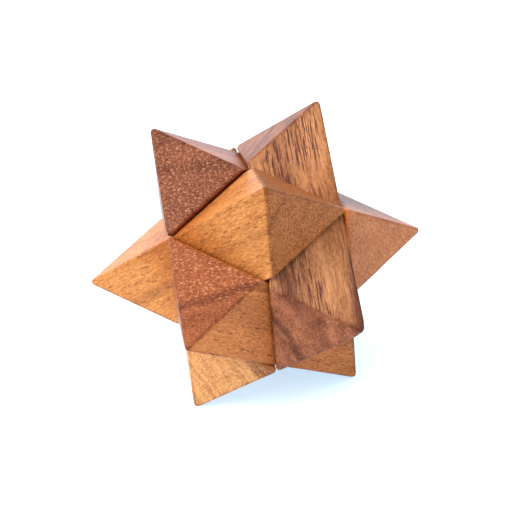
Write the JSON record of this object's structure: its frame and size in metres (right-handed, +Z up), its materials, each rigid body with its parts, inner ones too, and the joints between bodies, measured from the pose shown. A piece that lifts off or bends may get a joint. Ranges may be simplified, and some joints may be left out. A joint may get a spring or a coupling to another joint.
{
  "type": "star burr puzzle",
  "caption": "Interlocking wooden star puzzle of identical notched square sticks with wedge-shaped ends, standing on its tips.",
  "frame": {"origin": "centre of the footprint on the surface it stands on, on the upright three-fold axis", "axes": "+Z up along the three-fold axis, along which the upper three sticks lift off; -Y is the front, where the lower front stick lies; +X to the right"},
  "size_m": [0.081, 0.071, 0.0661],
  "materials": {
    "upper_left_wood": "satin oiled",
    "upper_right_wood": "satin oiled",
    "upper_back_wood": "satin oiled",
    "lower_front_wood": "satin oiled",
    "lower_left_wood": "satin oiled",
    "lower_right_wood": "satin oiled"
  },
  "bodies": {
    "lower_front": {"lower_front_stick": "lower_front_wood"},
    "lower_left": {"lower_left_stick": "lower_left_wood"},
    "lower_right": {"lower_right_stick": "lower_right_wood"},
    "upper_left": {"upper_left_stick": "upper_left_wood"},
    "upper_right": {"upper_right_stick": "upper_right_wood"},
    "upper_back": {"upper_back_stick": "upper_back_wood"}
  },
  "joints": [
    {"name": "slide_to_back_left", "type": "slide", "parent": "lower_front", "child": "lower_left", "axis": [-0.8165, 0.4714, 0.3333], "range_m": [0, 0.045]},
    {"name": "slide_to_back_right", "type": "slide", "parent": "lower_front", "child": "lower_right", "axis": [0.8165, 0.4714, 0.3333], "range_m": [0, 0.045]},
    {"name": "lift_upper_half", "type": "slide", "parent": "lower_left", "child": "upper_left", "axis": [0, 0, 1], "range_m": [0, 0.045]},
    {"name": "lift_upper_right", "type": "slide", "parent": "lower_right", "child": "upper_right", "axis": [0, 0, 1], "range_m": [0, 0.045]},
    {"name": "upper_back_to_back_right", "type": "slide", "parent": "upper_left", "child": "upper_back", "axis": [0.8165, 0.4714, 0.3333], "range_m": [0, 0.045]}
  ],
  "couplings": [
    {"joint": "lift_upper_right", "follows": "lift_upper_half", "ratio": 1},
    {"joint": "upper_back_to_back_right", "follows": "slide_to_back_right", "ratio": 1}
  ]
}
